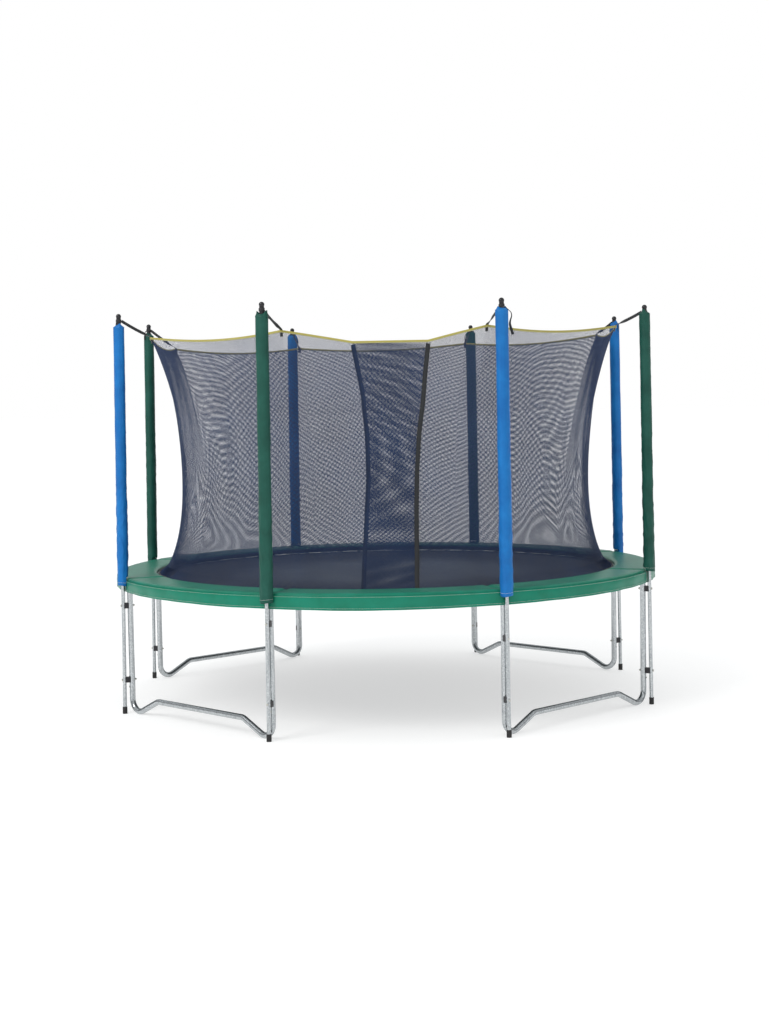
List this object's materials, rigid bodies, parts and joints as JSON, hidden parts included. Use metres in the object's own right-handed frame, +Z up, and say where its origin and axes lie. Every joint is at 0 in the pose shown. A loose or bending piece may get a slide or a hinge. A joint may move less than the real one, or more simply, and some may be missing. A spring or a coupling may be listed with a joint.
{
  "type": "trampoline",
  "caption": "Round garden trampoline with W-shaped tube legs, a sprung jumping mat, a green safety pad and a net enclosure on padded poles.",
  "frame": {"origin": "on the ground under the middle of the round frame", "axes": "+Z up, the doorway of the net faces -Y, +X to the right as seen from the doorway"},
  "size_m": [3.672, 3.672, 2.5968],
  "materials": {
    "galvanised_tube": "bright galvanised",
    "zinc_steel": "zinc plated",
    "blue_sleeve": "coated cloth",
    "green_sleeve": "coated cloth",
    "black_rubber": "matte",
    "black_plastic": "moulded",
    "foam": "closed cell foam",
    "pad_vinyl": "vinyl coated cloth",
    "pad_backing": "woven sheet",
    "mat_fabric": "woven polypropylene",
    "black_webbing": "woven webbing",
    "net_mesh": "open knotless mesh",
    "yellow_binding": "woven binding"
  },
  "bodies": {
    "frame": {"clamp_bolts": "zinc_steel", "clamp_nuts": "zinc_steel", "clamp_spacers": "black_plastic", "foam_tubes": "foam", "leg_base_1": "galvanised_tube", "leg_base_2": "galvanised_tube", "leg_base_3": "galvanised_tube", "leg_base_4": "galvanised_tube", "leg_screws": "zinc_steel", "net_flap_inner": "net_mesh", "net_flap_outer": "net_mesh", "net_hem": "black_webbing", "net_hooks": "black_webbing", "net_panel_1": "net_mesh", "net_panel_2": "net_mesh", "net_panel_3": "net_mesh", "net_panel_4": "net_mesh", "net_panel_5": "net_mesh", "net_panel_6": "net_mesh", "net_panel_7": "net_mesh", "net_rim": "yellow_binding", "net_straps": "black_webbing", "pad_backing": "pad_backing", "pad_cover": "pad_vinyl", "pad_foam": "foam", "pad_ties": "black_webbing", "pole_caps": "black_plastic", "pole_feet": "black_rubber", "pole_lowers": "galvanised_tube", "pole_uppers": "galvanised_tube", "rail_1": "galvanised_tube", "rail_2": "galvanised_tube", "rail_3": "galvanised_tube", "rail_4": "galvanised_tube", "rail_5": "galvanised_tube", "rail_6": "galvanised_tube", "rail_7": "galvanised_tube", "rail_8": "galvanised_tube", "sleeve_blue_1": "blue_sleeve", "sleeve_blue_3": "blue_sleeve", "sleeve_blue_5": "blue_sleeve", "sleeve_blue_7": "blue_sleeve", "sleeve_green_2": "green_sleeve", "sleeve_green_4": "green_sleeve", "sleeve_green_6": "green_sleeve", "sleeve_green_8": "green_sleeve", "springs": "zinc_steel", "upright_1": "galvanised_tube", "upright_2": "galvanised_tube", "upright_3": "galvanised_tube", "upright_4": "galvanised_tube", "upright_5": "galvanised_tube", "upright_6": "galvanised_tube", "upright_7": "galvanised_tube", "upright_8": "galvanised_tube"},
    "bed": {"jump_mat": "mat_fabric", "mat_webbing": "black_webbing", "mat_rings": "zinc_steel"},
    "flap_outer": {"door_band_outer": "black_webbing"},
    "flap_inner": {"door_band_inner": "black_webbing"}
  },
  "joints": [
    {"name": "bed_bounce", "type": "slide", "parent": "frame", "child": "bed", "axis": [0, 0, 1], "range_m": [-0.4, 0], "stiffness_N_per_m": 4500, "springref_m": 0.08, "deforming": ["springs"]},
    {"name": "flap_outer_slide", "type": "hinge", "parent": "frame", "child": "flap_outer", "pos_m": [0, 0, 0.878], "axis": [0, 0, 1], "range_deg": [-21, 0], "stiffness_Nm_per_rad": 30, "deforming": ["net_flap_outer"]},
    {"name": "flap_inner_slide", "type": "hinge", "parent": "frame", "child": "flap_inner", "pos_m": [0, 0, 0.878], "axis": [0, 0, 1], "range_deg": [0, 21], "stiffness_Nm_per_rad": 30, "deforming": ["net_flap_inner"]}
  ]
}
